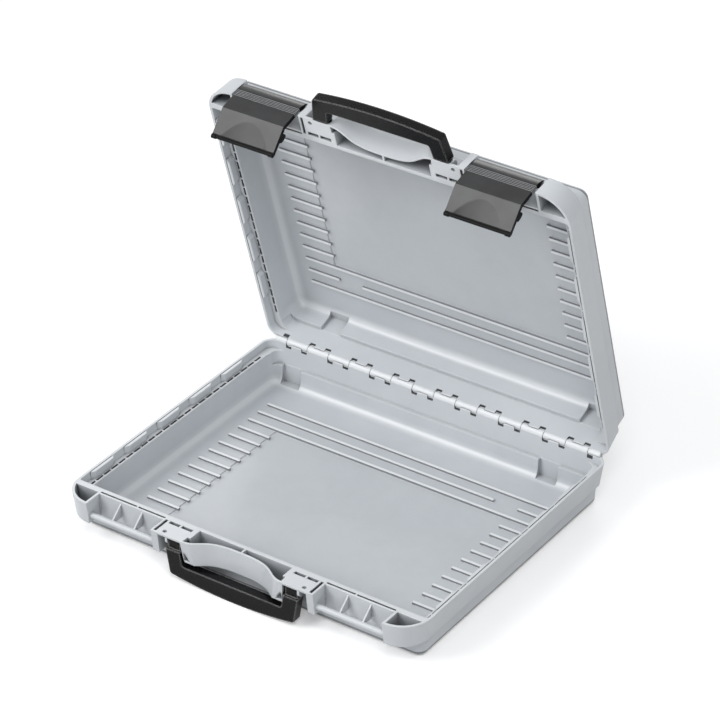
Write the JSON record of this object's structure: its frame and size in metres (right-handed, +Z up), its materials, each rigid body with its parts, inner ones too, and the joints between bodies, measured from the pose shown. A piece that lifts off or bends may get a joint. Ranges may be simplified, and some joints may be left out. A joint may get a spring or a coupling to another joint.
{
  "type": "hard tool case",
  "caption": "Flat hard carrying case with two moulded shells on a rear hinge, drop-down half handles and over-centre latches.",
  "frame": {"origin": "middle of the base's flat underside", "axes": "+X along the hinge towards the right as seen from the handle side, +Y towards the hinge, +Z up"},
  "size_m": [0.39, 0.3735, 0.3985],
  "materials": {
    "base_shell_plastic": "fine moulded texture",
    "lid_shell_plastic": "fine moulded texture",
    "pin_steel": "drawn wire",
    "left_latch_plastic": "satin",
    "right_latch_plastic": "satin",
    "base_handle_plastic": "satin",
    "lid_handle_plastic": "satin"
  },
  "bodies": {
    "base": {"base_shell": "base_shell_plastic", "hinge_pin": "pin_steel"},
    "lid": {"lid_shell": "lid_shell_plastic"},
    "left_latch": {"left_latch": "left_latch_plastic"},
    "right_latch": {"right_latch": "right_latch_plastic"},
    "base_handle": {"base_handle": "base_handle_plastic"},
    "lid_handle": {"lid_handle": "lid_handle_plastic"}
  },
  "joints": [
    {"name": "lid_hinge", "type": "hinge", "parent": "base", "child": "lid", "pos_m": [0, 0.1679, 0.0455], "axis": [-1, 0, 0], "range_deg": [-73, 107]},
    {"name": "left_latch_hinge", "type": "hinge", "parent": "lid", "child": "left_latch", "pos_m": [0, 0.08801, 0.36291], "axis": [-1, 0, 0], "range_deg": [0, 110]},
    {"name": "right_latch_hinge", "type": "hinge", "parent": "lid", "child": "right_latch", "pos_m": [0, 0.08801, 0.36291], "axis": [-1, 0, 0], "range_deg": [0, 110]},
    {"name": "base_handle_hinge", "type": "hinge", "parent": "base", "child": "base_handle", "pos_m": [0, -0.1596, 0.0391], "axis": [-1, 0, 0], "range_deg": [-12, 90]},
    {"name": "lid_handle_hinge", "type": "hinge", "parent": "lid", "child": "lid_handle", "pos_m": [0, 0.07827, 0.36056], "axis": [-1, 0, 0], "range_deg": [0, 102]}
  ]
}
